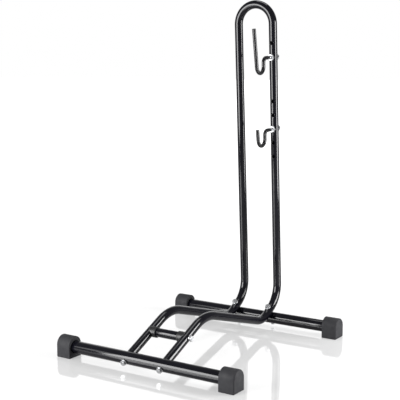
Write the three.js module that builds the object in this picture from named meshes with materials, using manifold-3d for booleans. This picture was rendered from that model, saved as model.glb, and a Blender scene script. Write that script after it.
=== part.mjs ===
// A floor rack for one bicycle. Two cross tubes with rubber feet lie on the floor. Two bent side
// rails join them, and a tall hoop rises from the rails' rear ends. The bicycle's wheel stands
// between the rails and between the hoop's legs, and two hooks on the hoop's right leg hold its
// frame. Each hook is a bent rod whose threaded shank is clamped in the leg by a pair of nuts.
//
// Sizes are in millimetres and degrees. X runs along the cross tubes, Y runs from the front
// cross tube to the rear one, and Z is the height above the floor.

import * as THREE from "three";
import { mergeVertices } from "three/addons/utils/BufferGeometryUtils.js";
import Module from "manifold-3d";

const wasm = await Module();
wasm.setup();

// ---------------------------------------------------------------- driving dimensions

const SEAT_GAP = 0.3; // between two pieces that touch or fit into each other

// Cross tubes
const BASE_TUBE_DIAMETER = 25;
const BASE_TUBE_WALL = 1.5;
const BASE_TUBE_LENGTH = 404;
const BASE_TUBE_HEIGHT = 21.5; // tube axis above the floor
const BASE_TUBE_SPACING = 412; // front tube's axis to rear tube's axis

// Rubber feet, one on each end of each cross tube
const FOOT_WIDTH = 36; // along Y
const FOOT_HEIGHT = 43;
const FOOT_LENGTH = 34; // along X
const FOOT_SOCKET_DEPTH = 27;
const FOOT_BEVEL = 2.5;

// The thinner tube of the side rails, the hoop and the spacer
const FRAME_TUBE_DIAMETER = 18;
const FRAME_TUBE_WALL = 1.2;
const FRAME_TUBE_SPACING = 85; // left axis to right axis, of the rails and of the hoop's legs

// Side rails: up from the front cross tube, over a hump, down to the rear one and up again
const RAIL_RISE_ANGLE = 25;
const RAIL_HUMP_RADIUS = 97;
const RAIL_FALL_ANGLE = 16;
const RAIL_HEEL_RADIUS = 58;

// The joint of rail, hoop and rear cross tube, measured along the tube from the joint's bolt
const JOINT_ANGLE = 32; // slope of both tubes where the bolt holds them
const RAIL_JOINT_STRAIGHT = 8; // straight rail before the bolt
const RAIL_JOINT_LAP = 7; // rail's end past the bolt
const HOOP_JOINT_STRAIGHT = 10.5; // straight hoop tube past the bolt
const HOOP_SPIGOT_REACH = 8; // hoop's narrowed end before the bolt
const HOOP_SHOULDER_LENGTH = 2.5; // where the hoop's tube widens from its narrowed end

// Hoop
const HOOP_HEIGHT = 718; // top of the hoop above the floor
const HOOP_LEAN = 3; // forward from upright
const HOOP_ANKLE_RADIUS = 58;

// Cross spacer between the rails
const SPACER_DISTANCE = 83; // from the front cross tube's axis, along the rail
const SADDLE_DIAMETER = 22; // the saddles between the spacer and the rails
const SADDLE_THICKNESS = 8; // spacer's end to the rail
const SADDLE_DEPTH = 8; // how far a saddle reaches round the rail
const INSERT_DIAMETER = 9; // threaded insert in the left rail
const INSERT_LENGTH = 10;
const END_PLUG_LENGTH = 14; // what fills the end of a tube, of a rail or the spacer

// Adjustment holes in the hoop's right leg, in two rows that are counted downwards
const HOLE_PITCH = 30;
const UPPER_ROW_DEPTH = 91.5; // hoop's top down to the row's first hole
const UPPER_ROW_HOLES = 2;
const UPPER_HOOK_HOLE = 2; // the hole that holds the upper hook
const LOWER_ROW_DEPTH = 215.5;
const LOWER_ROW_HOLES = 5;
const LOWER_HOOK_HOLE = 3;

// Hooks
const HOOK_ROD_DIAMETER = 8;
const HOOK_REACH = 43; // leg's axis to the rod that comes down from the elbow
const HOOK_ELBOW_RADIUS = 10;
const HOOK_DROP = 31; // shank's axis down to the lowest point of the rod's axis
const HOOK_CRADLE_RADIUS = 14.2;
const HOOK_ARM_SPLAY = 6.2; // how far the outer arm leans away
const UPPER_HOOK_ARM = 93; // outer arm's tip above the lowest point of the rod's axis
const LOWER_HOOK_ARM = 36;
const HOOK_TAIL = 7; // thread that stands out of the rear nut
const HOOK_NUT_FLATS = 13;
const HOOK_NUT_HEIGHT = 4;

// Bolts, washers and nuts that hold the frame together
const BOLT_DIAMETER = 6;
const BOLT_HEAD_FLATS = 10;
const BOLT_HEAD_HEIGHT = 4;
const BOLT_TAIL = 2; // thread that stands out of a nut
const BOLT_ENGAGEMENT = 12; // thread inside an end plug
const NUT_HEIGHT = 5;
const WASHER_DIAMETER = 12.5;
const WASHER_THICKNESS = 1.2;

// Roundness of the faceted shapes
const BASE_TUBE_SIDES = 24;
const FRAME_TUBE_SIDES = 20;
const ROD_SIDES = 12;
const HEXAGON_SIDES = 6;
const BEND_STEP = 7.5; // degrees of bend between two rings of a bent tube
const OVERRUN = 2; // how far a cutting shape runs past what it cuts

// ---------------------------------------------------------------- sizes worked out from them

const baseRadius = BASE_TUBE_DIAMETER / 2;
const frameRadius = FRAME_TUBE_DIAMETER / 2;
const frameBore = frameRadius - FRAME_TUBE_WALL;
const plugRadius = frameBore - SEAT_GAP;
const spigotBore = plugRadius - FRAME_TUBE_WALL;
const halfSpacing = FRAME_TUBE_SPACING / 2;
const railFace = halfSpacing - frameRadius; // the rails' inner sides
const insertRadius = INSERT_DIAMETER / 2;
const insertFace = halfSpacing - Math.sqrt(frameRadius ** 2 - insertRadius ** 2); // flush
const rodRadius = HOOK_ROD_DIAMETER / 2;
const boltRadius = BOLT_DIAMETER / 2;
const boltHole = boltRadius + SEAT_GAP;

// The heights of a row's holes, from its first and highest one down
const rowHeights = (depth, holes) =>
  Array.from({ length: holes }, (_, hole) => HOOP_HEIGHT - depth - hole * HOLE_PITCH);
const upperRow = rowHeights(UPPER_ROW_DEPTH, UPPER_ROW_HOLES);
const lowerRow = rowHeights(LOWER_ROW_DEPTH, LOWER_ROW_HOLES);
const upperHookHeight = upperRow[UPPER_HOOK_HOLE - 1];
const lowerHookHeight = lowerRow[LOWER_HOOK_HOLE - 1];

const rise = THREE.MathUtils.degToRad(RAIL_RISE_ANGLE);
const fall = THREE.MathUtils.degToRad(RAIL_FALL_ANGLE);
const slope = THREE.MathUtils.degToRad(JOINT_ANGLE);
const lean = THREE.MathUtils.degToRad(HOOP_LEAN);
const splay = THREE.MathUtils.degToRad(HOOK_ARM_SPLAY);

// Points and directions in the side view, as seen along X
const sideVector = (y, z, x = 0) => new THREE.Vector3(x, y, z);
const sideDirection = (angle) => sideVector(Math.cos(angle), Math.sin(angle));
const alongX = new THREE.Vector3(1, 0, 0);

const frontBase = sideVector(0, BASE_TUBE_HEIGHT);
const rearBase = sideVector(BASE_TUBE_SPACING, BASE_TUBE_HEIGHT);
const riseDirection = sideDirection(rise);
const fallDirection = sideDirection(-fall);
const jointDirection = sideDirection(slope);
const jointNormal = sideDirection(slope + Math.PI / 2); // out of the rear base tube, up and forward
const legDirection = sideDirection(lean + Math.PI / 2);
const shankDirection = sideDirection(lean + Math.PI); // square to the leg, to the front

const joint = rearBase.clone().addScaledVector(jointNormal, baseRadius + frameRadius + SEAT_GAP);
const jointPoint = (distance) => joint.clone().addScaledVector(jointDirection, distance);
const tangentLength = (radius, turn) => radius * Math.tan(turn / 2);

// The rail's corners, where the straight lines of its side view would meet
const heelCorner = jointPoint(-RAIL_JOINT_STRAIGHT - tangentLength(RAIL_HEEL_RADIUS, slope + fall));
const humpCorner = meetingPoint(frontBase, riseDirection, heelCorner, fallDirection);

// The hoop's corner at the foot of each leg, and the leg's axis above it
const ankleTurn = lean + Math.PI / 2 - slope;
const ankleCorner = jointPoint(HOOP_JOINT_STRAIGHT + tangentLength(HOOP_ANKLE_RADIUS, ankleTurn));
const legPoint = (height) =>
  ankleCorner.clone().addScaledVector(legDirection, (height - ankleCorner.z) / Math.cos(lean));
const hoopCrown = legPoint(HOOP_HEIGHT - frameRadius);

function meetingPoint(pointA, directionA, pointB, directionB) {
  const gap = pointB.clone().sub(pointA);
  const cross = (a, b) => a.y * b.z - a.z * b.y;
  const distance = cross(gap, directionB) / cross(directionA, directionB);
  return pointA.clone().addScaledVector(directionA, distance);
}

// ---------------------------------------------------------------- shapes

// A path of straight runs with a round bend at each inner corner. Its stations are the ends of the
// bends and a ring every BEND_STEP inside them, so a straight run costs no rings.
class BentPath extends THREE.Curve {
  constructor(corners, radii) {
    super();
    this.stations = [];
    const headings = corners.slice(1).map((corner, i) => corner.clone().sub(corners[i]).normalize());
    this.addStation(corners[0], headings[0]);
    radii.forEach((radius, i) => this.addBend(corners[i + 1], headings[i], headings[i + 1], radius));
    this.addStation(corners.at(-1), headings.at(-1));
  }

  addStation(point, heading) {
    const last = this.stations.at(-1);
    if (last && last.point.distanceTo(point) < SEAT_GAP) return;
    this.stations.push({ point: point.clone(), heading: heading.clone() });
  }

  addBend(corner, before, after, radius) {
    const turn = before.angleTo(after);
    const start = corner.clone().addScaledVector(before, -tangentLength(radius, turn));
    const inward = after.clone().addScaledVector(before, -before.dot(after)).normalize();
    const steps = Math.ceil(THREE.MathUtils.radToDeg(turn) / BEND_STEP);
    for (let step = 0; step <= steps; step++) {
      const angle = (turn * step) / steps;
      const point = start
        .clone()
        .addScaledVector(before, radius * Math.sin(angle))
        .addScaledVector(inward, radius * (1 - Math.cos(angle)));
      const heading = before.clone().multiplyScalar(Math.cos(angle));
      this.addStation(point, heading.addScaledVector(inward, Math.sin(angle)));
    }
  }

  stationAt(share) {
    return this.stations[Math.round(share * (this.stations.length - 1))];
  }

  getPointAt(share) {
    return this.stationAt(share).point.clone();
  }

  getTangentAt(share) {
    return this.stationAt(share).heading.clone();
  }
}

function discShape(radius, boreRadius = 0) {
  const shape = new THREE.Shape();
  shape.absarc(0, 0, radius, 0, 2 * Math.PI);
  if (boreRadius > 0) shape.holes.push(new THREE.Path().absarc(0, 0, boreRadius, 0, 2 * Math.PI));
  return shape;
}

// A bar or tube of round section along a path
function alongPath(path, sides, radius, boreRadius) {
  return new THREE.ExtrudeGeometry(discShape(radius, boreRadius), {
    extrudePath: path,
    steps: path.stations.length - 1,
    curveSegments: sides / 2,
  });
}

// A straight bar or tube between two points
function straight(from, to, sides, radius, boreRadius) {
  return alongPath(new BentPath([from, to], []), sides, radius, boreRadius);
}

// A disc or ring on the local Z axis, from one height to another
function ring(low, high, sides, radius, boreRadius) {
  const geometry = new THREE.ExtrudeGeometry(discShape(radius, boreRadius), {
    depth: high - low,
    bevelEnabled: false,
    curveSegments: sides / 2,
  });
  return geometry.translate(0, 0, low);
}

function hexagon(low, high, acrossFlats, boreRadius) {
  const cornerRadius = acrossFlats / Math.sqrt(3);
  const shape = new THREE.Shape();
  for (let corner = 0; corner < HEXAGON_SIDES; corner++) {
    const angle = (2 * Math.PI * corner) / HEXAGON_SIDES;
    shape.lineTo(cornerRadius * Math.cos(angle), cornerRadius * Math.sin(angle));
  }
  shape.curves.shift(); // the stroke from the centre to the first corner
  shape.closePath();
  if (boreRadius > 0) shape.holes.push(new THREE.Path().absarc(0, 0, boreRadius, 0, 2 * Math.PI));
  const geometry = new THREE.ExtrudeGeometry(shape, {
    depth: high - low,
    bevelEnabled: false,
    curveSegments: ROD_SIDES / 2,
  });
  return geometry.translate(0, 0, low);
}

function solidOf(geometry) {
  const bare = geometry.clone();
  bare.deleteAttribute("normal");
  bare.deleteAttribute("uv");
  const merged = mergeVertices(bare);
  const points = merged.attributes.position;
  return new wasm.Manifold(
    new wasm.Mesh({
      numProp: points.itemSize,
      vertProperties: points.array,
      triVerts: new Uint32Array(merged.index.array),
    }),
  );
}

function geometryOf(solid) {
  const mesh = solid.getMesh();
  const geometry = new THREE.BufferGeometry();
  geometry.setAttribute("position", new THREE.BufferAttribute(mesh.vertProperties, 3));
  geometry.setIndex(new THREE.BufferAttribute(mesh.triVerts, 1));
  geometry.computeVertexNormals();
  return geometry;
}

const cut = (body, ...tools) =>
  geometryOf(tools.reduce((solid, tool) => solid.subtract(solidOf(tool)), solidOf(body)));
const join = (body, ...others) =>
  geometryOf(others.reduce((solid, other) => solid.add(solidOf(other)), solidOf(body)));

// ---------------------------------------------------------------- materials and meshes

const finish = (color, roughness, metalness) => () =>
  new THREE.MeshStandardMaterial({ color, roughness, metalness });
const glossBlackPaint = finish(0x17171b, 0.25, 0.1);
const satinBlackCoat = finish(0x1f1f22, 0.5, 0.1);
const blackRubber = finish(0x3a3a3d, 0.85, 0);
const blackPlastic = finish(0x1c1c1f, 0.5, 0);
const zincPlate = finish(0xc9ccd0, 0.3, 0.9);

function named(name, geometry, material) {
  const mesh = new THREE.Mesh(geometry, material());
  mesh.name = name;
  return mesh;
}

// Turns a mesh so that its local Z axis points along a direction, with its origin at a point
function place(mesh, point, direction) {
  mesh.position.copy(point);
  mesh.quaternion.setFromUnitVectors(new THREE.Vector3(0, 0, 1), direction);
  return mesh;
}

const sides = [
  { word: "left", sign: -1 },
  { word: "right", sign: 1 },
];
const atSide = (point, sign) => point.clone().setX(sign * halfSpacing);

// ---------------------------------------------------------------- cross tubes and feet

// A cross tube in its own frame: on the X axis, with a bolt hole under each rail
function crossTube(boltDirection) {
  const halfLength = BASE_TUBE_LENGTH / 2;
  const tube = straight(
    sideVector(0, 0, -halfLength),
    sideVector(0, 0, halfLength),
    BASE_TUBE_SIDES,
    baseRadius,
    baseRadius - BASE_TUBE_WALL,
  );
  const reach = baseRadius + OVERRUN;
  const holes = sides.map(({ sign }) => {
    const middle = sideVector(0, 0, sign * halfSpacing);
    const from = middle.clone().addScaledVector(boltDirection, -reach);
    return straight(from, middle.addScaledVector(boltDirection, reach), ROD_SIDES, boltHole);
  });
  return cut(tube, ...holes);
}

// A foot in its own frame: round over the top, flat below, with a socket for the tube's end that
// opens at the origin and runs along +X. The tube's axis is the X axis.
function foot() {
  const halfWidth = FOOT_WIDTH / 2;
  const topCentre = FOOT_HEIGHT - BASE_TUBE_HEIGHT - halfWidth;
  const outline = new THREE.Shape();
  outline.moveTo(-halfWidth, -BASE_TUBE_HEIGHT);
  outline.lineTo(halfWidth, -BASE_TUBE_HEIGHT);
  outline.lineTo(halfWidth, topCentre);
  outline.absarc(0, topCentre, halfWidth, 0, Math.PI);
  outline.closePath();
  const block = new THREE.ExtrudeGeometry(outline, {
    depth: FOOT_LENGTH - 2 * FOOT_BEVEL,
    bevelThickness: FOOT_BEVEL,
    bevelSize: FOOT_BEVEL,
    bevelOffset: -FOOT_BEVEL,
    bevelSegments: 2,
    curveSegments: BASE_TUBE_SIDES / 2,
  });
  block.translate(0, 0, FOOT_BEVEL);
  block.rotateX(Math.PI / 2).rotateZ(Math.PI / 2);
  const socket = straight(
    sideVector(0, 0, -OVERRUN),
    sideVector(0, 0, FOOT_SOCKET_DEPTH),
    BASE_TUBE_SIDES,
    baseRadius + SEAT_GAP,
  );
  return cut(block, socket);
}

function base() {
  const group = new THREE.Group();
  const socketMouth = BASE_TUBE_LENGTH / 2 + SEAT_GAP - FOOT_SOCKET_DEPTH;
  const rows = [
    { row: "front", axis: frontBase, boltDirection: riseDirection },
    { row: "rear", axis: rearBase, boltDirection: jointNormal },
  ];
  for (const { row, axis, boltDirection } of rows) {
    const rowGroup = new THREE.Group();
    rowGroup.position.copy(axis);
    rowGroup.add(named(`${row}_base_tube`, crossTube(boltDirection), glossBlackPaint));
    for (const { word, sign } of sides) {
      const cap = named(`${row}_${word}_foot`, foot(), blackRubber);
      cap.position.x = sign * socketMouth;
      if (sign < 0) cap.rotation.z = Math.PI;
      rowGroup.add(cap);
    }
    group.add(rowGroup);
  }
  return group;
}

// ---------------------------------------------------------------- side rails and spacer

const spacerAxis = frontBase.clone().addScaledVector(riseDirection, SPACER_DISTANCE);

function rail(sign) {
  const corners = [frontBase, humpCorner, heelCorner, jointPoint(RAIL_JOINT_LAP)];
  const path = new BentPath(
    corners.map((corner) => atSide(corner, sign)),
    [RAIL_HUMP_RADIUS, RAIL_HEEL_RADIUS],
  );
  const tube = alongPath(path, FRAME_TUBE_SIDES, frameRadius, frameBore);
  const cope = straight(
    atSide(frontBase, sign).addScaledVector(alongX, -frameRadius - OVERRUN),
    atSide(frontBase, sign).addScaledVector(alongX, frameRadius + OVERRUN),
    BASE_TUBE_SIDES,
    baseRadius + SEAT_GAP,
  );
  return cut(tube, cope, sign > 0 ? spacerBoltHole() : insertHole(), jointBoltHole(sign));
}

// Through both walls of the right rail
function spacerBoltHole() {
  const from = spacerAxis.clone().setX(railFace - OVERRUN);
  const to = spacerAxis.clone().setX(railFace + FRAME_TUBE_DIAMETER + OVERRUN);
  return straight(from, to, ROD_SIDES, boltHole);
}

// Through the inner wall of the left rail
function insertHole() {
  const from = spacerAxis.clone().setX(-railFace + OVERRUN);
  const to = spacerAxis.clone().setX(-halfSpacing);
  return straight(from, to, ROD_SIDES, insertRadius + SEAT_GAP);
}

function jointBoltHole(sign) {
  const reach = frameRadius + OVERRUN;
  return straight(
    atSide(joint, sign).addScaledVector(jointNormal, -reach),
    atSide(joint, sign).addScaledVector(jointNormal, reach),
    ROD_SIDES,
    boltHole,
  );
}

// The threaded plug inside a rail's front end, on the local Z axis from the cross tube's axis
function railPlug() {
  const start = baseRadius + SEAT_GAP;
  return ring(start, start + END_PLUG_LENGTH, ROD_SIDES, plugRadius, boltHole);
}

// The threaded insert in the left rail's inner wall, on the X axis from the wall's outside
function railInsert() {
  return ring(0, INSERT_LENGTH, ROD_SIDES, insertRadius, boltHole).rotateY(-Math.PI / 2);
}

// The spacer's end piece: a saddle that sits round the rail, and a plug in the spacer's end
function spacerSaddle(sign) {
  const shoulder = railFace - SADDLE_THICKNESS;
  const block = ring(
    shoulder,
    railFace + SADDLE_DEPTH,
    FRAME_TUBE_SIDES,
    SADDLE_DIAMETER / 2,
    boltHole,
  );
  const plug = ring(
    shoulder - END_PLUG_LENGTH,
    shoulder + SADDLE_THICKNESS / 2,
    FRAME_TUBE_SIDES,
    plugRadius,
    boltHole,
  );
  const saddle = join(block, plug).rotateY((sign * Math.PI) / 2);
  saddle.translate(spacerAxis.x, spacerAxis.y, spacerAxis.z);
  const reach = FRAME_TUBE_DIAMETER + OVERRUN;
  const railBed = straight(
    atSide(spacerAxis, sign).addScaledVector(riseDirection, -reach),
    atSide(spacerAxis, sign).addScaledVector(riseDirection, reach),
    FRAME_TUBE_SIDES,
    frameRadius + SEAT_GAP,
  );
  return cut(saddle, railBed);
}

function spacerTube() {
  const halfLength = railFace - SADDLE_THICKNESS - SEAT_GAP;
  const end = (sign) => spacerAxis.clone().setX(sign * halfLength);
  return straight(end(-1), end(1), FRAME_TUBE_SIDES, frameRadius, frameBore);
}

function railsAndSpacer() {
  const group = new THREE.Group();
  group.add(named("cross_spacer", spacerTube(), glossBlackPaint));
  for (const { word, sign } of sides) {
    group.add(named(`${word}_side_rail`, rail(sign), glossBlackPaint));
    group.add(named(`${word}_spacer_saddle`, spacerSaddle(sign), blackPlastic));
    const plug = named(`${word}_rail_plug`, railPlug(), zincPlate);
    group.add(place(plug, atSide(frontBase, sign), riseDirection));
  }
  const insert = named("left_rail_insert", railInsert(), zincPlate);
  insert.position.copy(spacerAxis).setX(-insertFace);
  group.add(insert);
  return group;
}

// ---------------------------------------------------------------- hoop

// The hoop's path from one joint over the top to the other, starting a distance past each bolt
function hoopPath(startDistance) {
  const half = [jointPoint(startDistance), ankleCorner, hoopCrown];
  const left = half.map((point) => atSide(point, -1));
  const right = half.map((point) => atSide(point, 1)).reverse();
  const radii = [HOOP_ANKLE_RADIUS, halfSpacing, halfSpacing, HOOP_ANKLE_RADIUS];
  return new BentPath([...left, ...right], radii);
}

function hoop() {
  const shoulder = RAIL_JOINT_LAP + SEAT_GAP;
  const body = alongPath(hoopPath(-HOOP_SPIGOT_REACH), FRAME_TUBE_SIDES, frameRadius);
  const bore = alongPath(hoopPath(shoulder + HOOP_SHOULDER_LENGTH), FRAME_TUBE_SIDES, frameBore);
  const endCuts = sides.flatMap(({ sign }) => {
    const before = atSide(jointPoint(-HOOP_SPIGOT_REACH - OVERRUN), sign);
    const shoulderPoint = atSide(jointPoint(shoulder), sign);
    const past = atSide(jointPoint(shoulder + HOOP_SHOULDER_LENGTH + SEAT_GAP), sign);
    return [
      straight(before, shoulderPoint, FRAME_TUBE_SIDES, frameRadius + OVERRUN, plugRadius),
      straight(before, past, FRAME_TUBE_SIDES, spigotBore),
      jointBoltHole(sign),
    ];
  });
  const reach = frameRadius + OVERRUN;
  const hookHoles = [...lowerRow, ...upperRow].map((height) => {
    const middle = atSide(legPoint(height), 1);
    const from = middle.clone().addScaledVector(shankDirection, -reach);
    const to = middle.addScaledVector(shankDirection, reach);
    return straight(from, to, ROD_SIDES, rodRadius + SEAT_GAP);
  });
  return cut(body, bore, ...endCuts, ...hookHoles);
}

// ---------------------------------------------------------------- hooks

// A hook in its own frame: its shank lies on the Z axis with +Z to the front, and +X is up the
// leg. The origin is on the leg's axis.
function hook(armHeight) {
  const point = (reach, height) => new THREE.Vector3(height, 0, reach);
  const bendTurn = (Math.PI - splay) / 2; // the cradle is two equal bends
  const bendTangent = tangentLength(HOOK_CRADLE_RADIUS, bendTurn);
  const tail = frameRadius + SEAT_GAP + HOOK_NUT_HEIGHT + HOOK_TAIL;
  const innerFoot = point(HOOK_REACH, HOOK_CRADLE_RADIUS - HOOK_DROP - bendTangent);
  const bottom = point(Math.sin(bendTurn), -Math.cos(bendTurn));
  const outerFoot = innerFoot.clone().addScaledVector(bottom, 2 * bendTangent);
  const outerArm = point(Math.sin(splay), Math.cos(splay));
  const armLength = (armHeight - HOOK_DROP - outerFoot.x) / Math.cos(splay);
  const corners = [
    point(-tail, 0),
    point(HOOK_REACH, 0),
    innerFoot,
    outerFoot,
    outerFoot.clone().addScaledVector(outerArm, armLength),
  ];
  const radii = [HOOK_ELBOW_RADIUS, HOOK_CRADLE_RADIUS, HOOK_CRADLE_RADIUS];
  return alongPath(new BentPath(corners, radii), ROD_SIDES, rodRadius);
}

function hookNut() {
  return hexagon(0, HOOK_NUT_HEIGHT, HOOK_NUT_FLATS, rodRadius + SEAT_GAP);
}

// A hook with its two nuts, in a group whose origin is on the leg's axis
function hookSet(word, height, armHeight) {
  const group = new THREE.Group();
  group.position.copy(atSide(legPoint(height), 1));
  const axes = new THREE.Matrix4().makeBasis(
    legDirection,
    shankDirection.clone().cross(legDirection),
    shankDirection,
  );
  group.quaternion.setFromRotationMatrix(axes);
  group.add(named(`${word}_hook`, hook(armHeight), satinBlackCoat));
  const frontNut = named(`${word}_hook_front_nut`, hookNut(), zincPlate);
  frontNut.position.z = frameRadius + SEAT_GAP;
  const rearNut = named(`${word}_hook_rear_nut`, hookNut(), zincPlate);
  rearNut.position.z = -frameRadius - SEAT_GAP - HOOK_NUT_HEIGHT;
  group.add(frontNut, rearNut);
  return group;
}

// ---------------------------------------------------------------- frame fasteners

// A bolt on the local Z axis: its head stands above z = 0 and its shank hangs below
function bolt(shankLength) {
  const head = hexagon(0, BOLT_HEAD_HEIGHT, BOLT_HEAD_FLATS);
  const shank = ring(-shankLength, BOLT_HEAD_HEIGHT / 2, ROD_SIDES, boltRadius);
  return join(head, shank);
}

const washer = () => ring(0, WASHER_THICKNESS, FRAME_TUBE_SIDES, WASHER_DIAMETER / 2, boltHole);

// A bolt and its washer: seat is the surface's distance from the point, along the direction
function boltAndWasher(name, point, direction, seat, shankEnd) {
  const washerFoot = seat + SEAT_GAP;
  const headFoot = washerFoot + WASHER_THICKNESS + SEAT_GAP;
  const at = (distance) => point.clone().addScaledVector(direction, distance);
  return [
    place(named(`${name}_washer`, washer(), zincPlate), at(washerFoot), direction),
    place(named(`${name}_bolt`, bolt(headFoot - shankEnd), zincPlate), at(headFoot), direction),
  ];
}

function fasteners() {
  const group = new THREE.Group();
  for (const { word, sign } of sides) {
    // From under the front cross tube into the rail's plug
    const front = riseDirection.clone().negate();
    const frontEnd = -baseRadius - SEAT_GAP - BOLT_ENGAGEMENT;
    group.add(...boltAndWasher(`${word}_front`, atSide(frontBase, sign), front, baseRadius, frontEnd));

    // Through the rail, the hoop's end and the rear cross tube, to a nut
    const nutTop = -frameRadius - BASE_TUBE_DIAMETER - 2 * SEAT_GAP;
    const nutFoot = nutTop - NUT_HEIGHT;
    const jointEnd = nutFoot - BOLT_TAIL;
    group.add(...boltAndWasher(`${word}_joint`, atSide(joint, sign), jointNormal, frameRadius, jointEnd));
    const nut = named(`${word}_joint_nut`, hexagon(0, NUT_HEIGHT, BOLT_HEAD_FLATS, boltHole), zincPlate);
    group.add(place(nut, atSide(joint, sign).addScaledVector(jointNormal, nutFoot), jointNormal));
  }

  // From outside the right rail through the spacer into the left rail's insert
  const spacerEnd = -halfSpacing - insertFace - INSERT_LENGTH;
  group.add(...boltAndWasher("spacer", atSide(spacerAxis, 1), alongX, frameRadius, spacerEnd));
  return group;
}

// ---------------------------------------------------------------- the whole rack

// The rack stands on the floor with the middle of its outline over the origin.
function rack() {
  const group = new THREE.Group();
  group.add(base(), railsAndSpacer(), named("hoop", hoop(), glossBlackPaint));
  group.add(hookSet("upper", upperHookHeight, UPPER_HOOK_ARM));
  group.add(hookSet("lower", lowerHookHeight, LOWER_HOOK_ARM));
  group.add(fasteners());
  const outline = new THREE.Box3().setFromObject(group, true);
  group.position.y = -(outline.min.y + outline.max.y) / 2;
  const origin = new THREE.Group();
  origin.add(group);
  return origin;
}

export default rack();
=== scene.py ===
# A floor rack for one bicycle: two cross tubes on rubber feet, two bent side rails, a tall hoop and
# two hooks on the hoop's right leg. The CAD frame is loaded first. Every piece that shows is then
# made again, smooth and with its small details, where its CAD node stands. Sizes are in millimetres
# and degrees, and become metres when a mesh is made. Only the finishes and the stage have theirs in
# metres.

import math

import bmesh
import bpy
from mathutils import Matrix, Vector


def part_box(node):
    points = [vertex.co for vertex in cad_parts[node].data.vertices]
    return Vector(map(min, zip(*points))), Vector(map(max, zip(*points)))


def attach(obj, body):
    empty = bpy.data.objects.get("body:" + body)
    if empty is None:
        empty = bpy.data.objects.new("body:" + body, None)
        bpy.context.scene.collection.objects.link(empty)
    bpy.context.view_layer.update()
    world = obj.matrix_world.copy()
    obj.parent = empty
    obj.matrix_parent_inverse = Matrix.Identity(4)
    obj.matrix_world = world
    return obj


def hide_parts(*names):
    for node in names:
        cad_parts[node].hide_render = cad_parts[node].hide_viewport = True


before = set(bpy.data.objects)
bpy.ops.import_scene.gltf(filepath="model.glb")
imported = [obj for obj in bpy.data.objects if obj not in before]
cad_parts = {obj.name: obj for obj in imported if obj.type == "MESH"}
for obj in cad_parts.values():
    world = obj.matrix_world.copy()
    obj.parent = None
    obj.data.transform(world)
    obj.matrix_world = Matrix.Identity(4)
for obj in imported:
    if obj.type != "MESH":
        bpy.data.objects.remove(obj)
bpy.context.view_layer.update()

# ---- sizes of the rack

MM = 0.001

# Gaps. A smooth piece stays a hair inside its CAD node, or fills part of the gap beside it.
CAD_GAP = 0.3  # between two CAD nodes that touch
GAP = 0.1  # between two smooth pieces that fit into each other
SEAT_GAP = 0.05  # under a nut or a bolt's head

# Cross tubes
CAD_BASE_RADIUS = 12.5
BASE_RADIUS = 12.48
BASE_WALL = 1.5
BASE_LENGTH = 404
BASE_HEIGHT = 21.5  # tube axis above the floor
BASE_SPACING = 412  # front tube's axis to rear tube's axis

# Rubber feet
FOOT_WIDTH = 36
FOOT_HEIGHT = 43
FOOT_LENGTH = 34
FOOT_SOCKET_DEPTH = 27
FOOT_SOCKET_RADIUS = 12.6
FOOT_END_ROUNDING = 2.6
FOOT_MOUTH_ROUNDING = 1.1
FOOT_SOLE_ROUNDING = 1.6
FOOT_LEAST_ROUNDING = 0.2  # what is left of the sole's rounding where the foot's ends draw in

# The thinner tube of the side rails, the hoop and the spacer
CAD_TUBE_RADIUS = 9
TUBE_RADIUS = 8.98
TUBE_BORE = 7.8
TUBE_SPACING = 85  # left axis to right axis, of the rails and of the hoop's legs
TUBE_LIP = 0.35  # rounding of a cut end's edges

# Side rails: up from the front cross tube, over a hump, down to the rear one and up again
RAIL_RISE = 25
RAIL_HUMP_RADIUS = 97
RAIL_FALL = 16
RAIL_HEEL_RADIUS = 58

# The joint of rail, hoop and rear cross tube, measured along the tube from the joint's bolt
JOINT_ANGLE = 32  # slope of both tubes where the bolt holds them
RAIL_JOINT_STRAIGHT = 8  # straight rail before the bolt
RAIL_JOINT_LAP = 7  # rail's end past the bolt
HOOP_JOINT_STRAIGHT = 10.5  # straight hoop tube past the bolt
HOOP_SPIGOT_REACH = 8  # hoop's narrowed end before the bolt
HOOP_SPIGOT_RADIUS = 7.5
HOOP_SPIGOT_BORE = 6.3
HOOP_SHOULDER_LENGTH = 2.5  # from where the hoop widens outside to where its bore does

# Hoop
HOOP_HEIGHT = 718
HOOP_LEAN = 3  # forward from upright
HOOP_ANKLE_RADIUS = 58

# Cross spacer between the rails
SPACER_DISTANCE = 83  # from the front cross tube's axis, along the rail
SADDLE_RADIUS = 11
SADDLE_THICKNESS = 8  # spacer's end to the rail
SADDLE_DEPTH = 8  # how far a saddle reaches round the rail
SADDLE_PLUG_LENGTH = 14
SADDLE_EDGE = 0.7
INSERT_RADIUS = 4.5  # threaded insert in the left rail
SPACER_BOLT_REACH = 44.7  # the spacer bolt's end, to the left of the rack's middle

# Holes in the hoop's right leg, in two rows that are counted downwards
HOLE_PITCH = 30
UPPER_ROW_DEPTH = 91.5  # hoop's top down to the row's first hole
UPPER_ROW_HOLES = 2
UPPER_HOOK_HOLE = 2  # the hole that holds the upper hook
LOWER_ROW_DEPTH = 215.5
LOWER_ROW_HOLES = 5
LOWER_HOOK_HOLE = 3
HOOK_HOLE_RADIUS = 4.25
BOLT_HOLE_RADIUS = 3.25

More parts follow.
